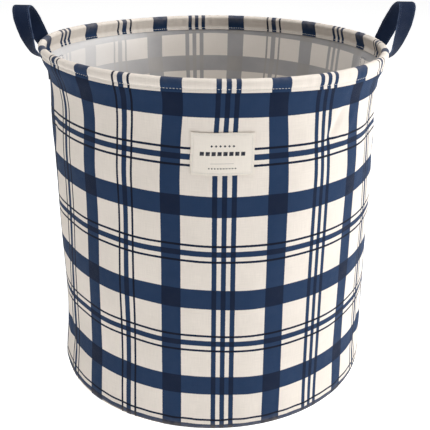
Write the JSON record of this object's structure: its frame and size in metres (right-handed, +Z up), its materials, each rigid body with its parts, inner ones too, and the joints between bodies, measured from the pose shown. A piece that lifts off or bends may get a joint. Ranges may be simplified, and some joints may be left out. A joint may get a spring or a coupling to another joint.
{
  "type": "fabric storage bin",
  "caption": "Round cloth storage bin with a plaid wall, a wired rim, a waterproof lining and strap handles; it pushes down flat to store.",
  "frame": {"origin": "centre of the base, on the surface that the bin stands on", "axes": "+Z up, the label faces -Y, the handles are towards -X and +X"},
  "size_m": [0.463, 0.394, 0.4378],
  "materials": {
    "printed_cloth": "matte cotton and linen, cream with a navy plaid print",
    "waterproof_coating": "milky satin coating with the print showing faintly through it",
    "seam_tape": "cream woven tape",
    "label_cloth": "cream cotton with pressed edges",
    "strap": "navy cotton strap",
    "thread": "pale sewing thread",
    "navy_thread": "navy sewing thread",
    "hoop_steel": "drawn steel wire",
    "sleeve_metal": "crimped tube"
  },
  "bodies": {
    "bin": {"wall_panel": "printed_cloth", "wall_lining": "waterproof_coating", "wall_side_seam": "seam_tape", "side_seam_stitching": "thread", "base_panel": "printed_cloth", "base_lining": "waterproof_coating", "base_seam_binding": "seam_tape", "base_seam_stitching": "thread", "label": "label_cloth", "label_stitching": "thread"},
    "rim": {"rim_hem": "printed_cloth", "rim_wire": "hoop_steel", "wire_sleeve": "sleeve_metal", "hem_stitching": "thread", "handle_left_front_end": "strap", "handle_left_rear_end": "strap", "handle_right_front_end": "strap", "handle_right_rear_end": "strap", "handle_left_end_stitching": "navy_thread", "handle_right_end_stitching": "navy_thread"},
    "handle_left": {"handle_left_loop": "strap", "handle_left_edge_stitching": "navy_thread"},
    "handle_right": {"handle_right_loop": "strap", "handle_right_edge_stitching": "navy_thread"}
  },
  "joints": [
    {"name": "collapse", "type": "slide", "parent": "bin", "child": "rim", "axis": [0, 0, -1], "range_m": [0, 0.3], "deforming": ["wall_panel", "wall_lining", "wall_side_seam", "side_seam_stitching", "label", "label_stitching"]},
    {"name": "handle_left_swing", "type": "hinge", "parent": "rim", "child": "handle_left", "pos_m": [-0.19688, 0.01032, 0.378], "axis": [-0.0523, -0.9986, 0], "range_deg": [-5, 130]},
    {"name": "handle_right_swing", "type": "hinge", "parent": "rim", "child": "handle_right", "pos_m": [0.19688, 0.01032, 0.378], "axis": [-0.0523, 0.9986, 0], "range_deg": [-5, 130]}
  ]
}
